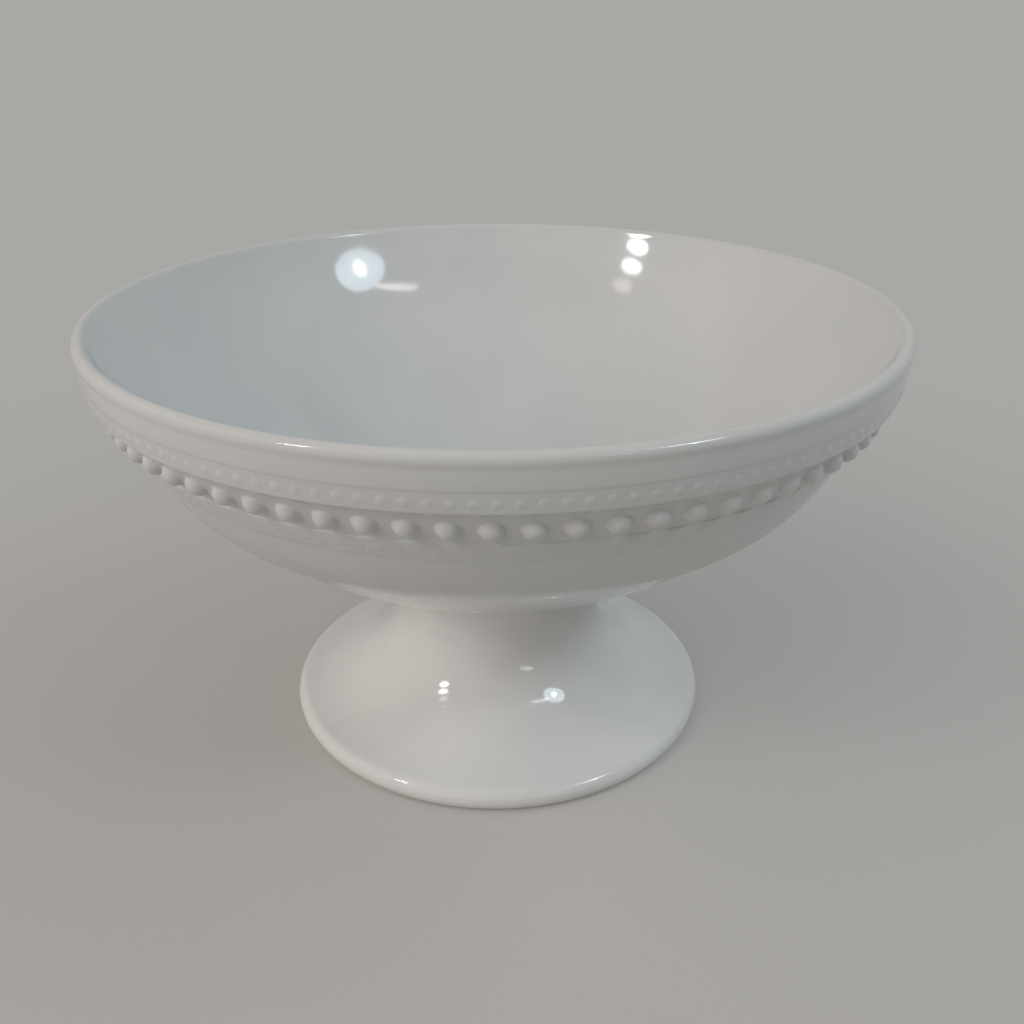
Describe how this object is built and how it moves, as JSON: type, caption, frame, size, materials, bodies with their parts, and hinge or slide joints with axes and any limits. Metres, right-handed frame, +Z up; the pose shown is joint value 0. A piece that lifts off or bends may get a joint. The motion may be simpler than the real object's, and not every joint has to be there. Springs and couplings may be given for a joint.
{
  "type": "footed compote bowl",
  "caption": "Wide white glazed bowl with a rolled lip and beaded collar, on a short neck and a hollow spread foot, for serving fruit.",
  "frame": {"origin": "centre of the standing ring, on the table", "axes": "+Z up, along the axis of turning; X and Y are alike"},
  "size_m": [0.249, 0.249, 0.1425],
  "materials": {
    "bowl_glaze": "clear glossy glaze on a white body, slightly wavy, pooled in the grooves of the collar",
    "foot_glaze": "clear glossy glaze on a white body, wiped off the standing ring, which is dry and matt",
    "joint_glaze": "slip under the same glossy glaze, smoothed to a cove",
    "bead_glaze": "the same glossy glaze run thick between soft-edged beads"
  },
  "bodies": {
    "root": {"bowl": "bowl_glaze", "foot": "foot_glaze", "luting_ring": "joint_glaze", "pearl_row": "bead_glaze", "seed_row_upper": "bead_glaze", "seed_row_lower": "bead_glaze"}
  },
  "joints": []
}
